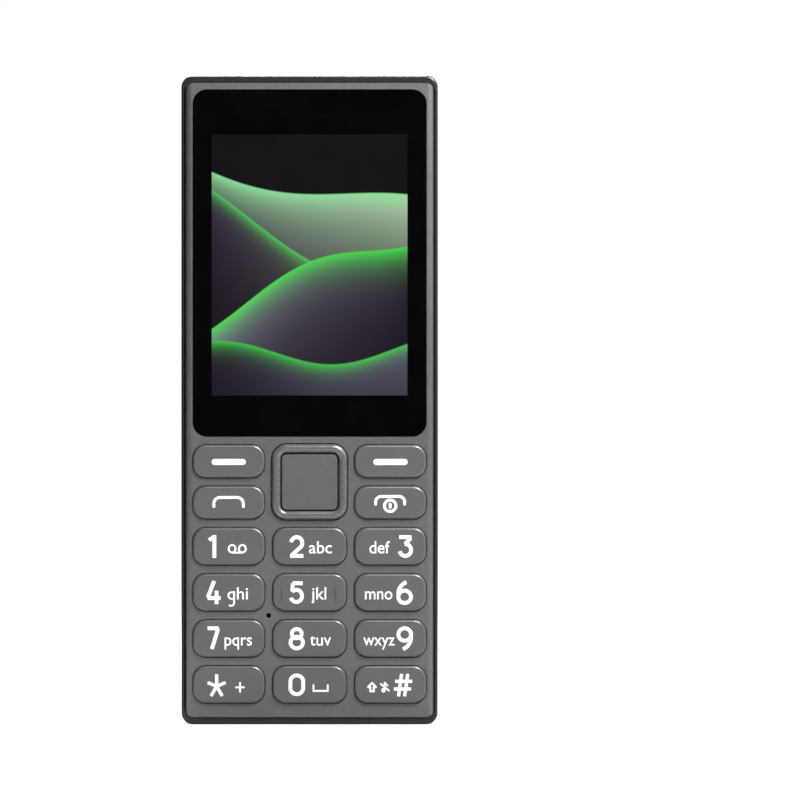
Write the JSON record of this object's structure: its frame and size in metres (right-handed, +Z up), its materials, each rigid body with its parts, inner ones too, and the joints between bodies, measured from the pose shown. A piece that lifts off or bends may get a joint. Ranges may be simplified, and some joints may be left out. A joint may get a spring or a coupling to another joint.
{
  "type": "feature phone",
  "caption": "Upright key phone with a display window, a deck of sprung keys, a lift-off rear cover over a battery bay, and a round camera island.",
  "frame": {"origin": "middle of the lower end, which the phone stands on", "axes": "+Z up along the phone's length, -Y out of the display and keys, +X to the right seen from the front"},
  "size_m": [0.048, 0.0152, 0.1214],
  "materials": {
    "deck_satin": "satin dark grey deck",
    "window_glass": "flat glass, black border",
    "steel": "plain",
    "frame_satin": "satin dark grey frame",
    "inner_plastic": "moulded black",
    "cover_metallic": "metallic dark grey, satin",
    "ring_metal": "turned, dark",
    "island_glass": "gloss black",
    "lens_glass": "polished",
    "torch_lens": "ringed lens",
    "led_white": "phosphor",
    "display": "display panel",
    "white_plastic": "moulded white",
    "flex_amber": "film",
    "board_green": "glass fibre board",
    "battery_wrap": "film wrap",
    "gold": "plated",
    "silicone": "translucent",
    "key_satin": "satin dark grey keys",
    "ring_satin": "satin dark grey ring",
    "shield_tin": "pressed tin can",
    "screw_steel": "plated"
  },
  "bodies": {
    "housing": {"front_housing": "deck_satin", "display_window": "window_glass", "earpiece_mesh": "steel", "mid_frame_left": "frame_satin", "mid_frame_right": "frame_satin", "chassis": "inner_plastic", "island_base": "inner_plastic", "island_ring": "ring_metal", "island_glass": "island_glass", "camera_lens_ring": "ring_metal", "camera_lens": "lens_glass", "camera_module": "inner_plastic", "torch_lens": "torch_lens", "torch_led": "led_white", "lcd_panel": "display", "backlight_frame": "white_plastic", "display_flex": "flex_amber", "main_board": "board_green", "rf_shield": "shield_tin", "power_shield": "shield_tin", "sim_holders": "shield_tin", "card_holder": "shield_tin", "battery_connector": "inner_plastic", "loudspeaker": "steel", "earpiece": "steel", "vibration_motor": "steel", "microphone": "steel", "usb_port": "steel", "usb_tongue": "inner_plastic", "audio_jack": "inner_plastic", "keypad_mat": "silicone", "metal_domes": "steel", "antenna": "gold", "screws": "screw_steel"},
    "soft_key_left": {"soft_key_left": "key_satin"},
    "soft_key_right": {"soft_key_right": "key_satin"},
    "call_key": {"call_key": "key_satin"},
    "end_key": {"end_key": "key_satin"},
    "key_1": {"key_1": "key_satin"},
    "key_2": {"key_2": "key_satin"},
    "key_3": {"key_3": "key_satin"},
    "key_4": {"key_4": "key_satin"},
    "key_5": {"key_5": "key_satin"},
    "key_6": {"key_6": "key_satin"},
    "key_7": {"key_7": "key_satin"},
    "key_8": {"key_8": "key_satin"},
    "key_9": {"key_9": "key_satin"},
    "key_star": {"key_star": "key_satin"},
    "key_0": {"key_0": "key_satin"},
    "key_hash": {"key_hash": "key_satin"},
    "nav_centre": {"nav_centre": "key_satin"},
    "nav_rocker": {"nav_rocker": "white_plastic"},
    "nav_ring": {"nav_ring": "ring_satin"},
    "rear_cover": {"rear_cover": "cover_metallic"},
    "battery": {"battery": "battery_wrap", "battery_contacts": "gold"}
  },
  "joints": [
    {"name": "soft_key_left_press", "type": "slide", "parent": "housing", "child": "soft_key_left", "axis": [0, 1, 0], "range_m": [0, 0.00035], "stiffness_N_per_m": 2000},
    {"name": "soft_key_right_press", "type": "slide", "parent": "housing", "child": "soft_key_right", "axis": [0, 1, 0], "range_m": [0, 0.00035], "stiffness_N_per_m": 2000},
    {"name": "call_key_press", "type": "slide", "parent": "housing", "child": "call_key", "axis": [0, 1, 0], "range_m": [0, 0.00035], "stiffness_N_per_m": 2000},
    {"name": "end_key_press", "type": "slide", "parent": "housing", "child": "end_key", "axis": [0, 1, 0], "range_m": [0, 0.00035], "stiffness_N_per_m": 2000},
    {"name": "key_1_press", "type": "slide", "parent": "housing", "child": "key_1", "axis": [0, 1, 0], "range_m": [0, 0.00035], "stiffness_N_per_m": 2000},
    {"name": "key_2_press", "type": "slide", "parent": "housing", "child": "key_2", "axis": [0, 1, 0], "range_m": [0, 0.00035], "stiffness_N_per_m": 2000},
    {"name": "key_3_press", "type": "slide", "parent": "housing", "child": "key_3", "axis": [0, 1, 0], "range_m": [0, 0.00035], "stiffness_N_per_m": 2000},
    {"name": "key_4_press", "type": "slide", "parent": "housing", "child": "key_4", "axis": [0, 1, 0], "range_m": [0, 0.00035], "stiffness_N_per_m": 2000},
    {"name": "key_5_press", "type": "slide", "parent": "housing", "child": "key_5", "axis": [0, 1, 0], "range_m": [0, 0.00035], "stiffness_N_per_m": 2000},
    {"name": "key_6_press", "type": "slide", "parent": "housing", "child": "key_6", "axis": [0, 1, 0], "range_m": [0, 0.00035], "stiffness_N_per_m": 2000},
    {"name": "key_7_press", "type": "slide", "parent": "housing", "child": "key_7", "axis": [0, 1, 0], "range_m": [0, 0.00035], "stiffness_N_per_m": 2000},
    {"name": "key_8_press", "type": "slide", "parent": "housing", "child": "key_8", "axis": [0, 1, 0], "range_m": [0, 0.00035], "stiffness_N_per_m": 2000},
    {"name": "key_9_press", "type": "slide", "parent": "housing", "child": "key_9", "axis": [0, 1, 0], "range_m": [0, 0.00035], "stiffness_N_per_m": 2000},
    {"name": "key_star_press", "type": "slide", "parent": "housing", "child": "key_star", "axis": [0, 1, 0], "range_m": [0, 0.00035], "stiffness_N_per_m": 2000},
    {"name": "key_0_press", "type": "slide", "parent": "housing", "child": "key_0", "axis": [0, 1, 0], "range_m": [0, 0.00035], "stiffness_N_per_m": 2000},
    {"name": "key_hash_press", "type": "slide", "parent": "housing", "child": "key_hash", "axis": [0, 1, 0], "range_m": [0, 0.00035], "stiffness_N_per_m": 2000},
    {"name": "nav_centre_press", "type": "slide", "parent": "housing", "child": "nav_centre", "axis": [0, 1, 0], "range_m": [0, 0.00035], "stiffness_N_per_m": 2000},
    {"name": "nav_rock_sideways", "type": "hinge", "parent": "housing", "child": "nav_rocker", "pos_m": [0, -0.00415, 0.04538], "axis": [0, 0, 1], "range_deg": [-2, 2], "stiffness_Nm_per_rad": 0.1},
    {"name": "nav_rock_up_down", "type": "hinge", "parent": "nav_rocker", "child": "nav_ring", "pos_m": [0, -0.00415, 0.04538], "axis": [1, 0, 0], "range_deg": [-2, 2], "stiffness_Nm_per_rad": 0.1},
    {"name": "rear_cover_lift", "type": "slide", "parent": "housing", "child": "rear_cover", "axis": [0, 1, 0], "range_m": [0, 0.03]},
    {"name": "battery_lift", "type": "slide", "parent": "housing", "child": "battery", "axis": [0, 1, 0], "range_m": [0, 0.012]}
  ],
  "couplings": [
    {"joint": "battery_lift", "follows": "rear_cover_lift", "ratio": 0.4}
  ]
}
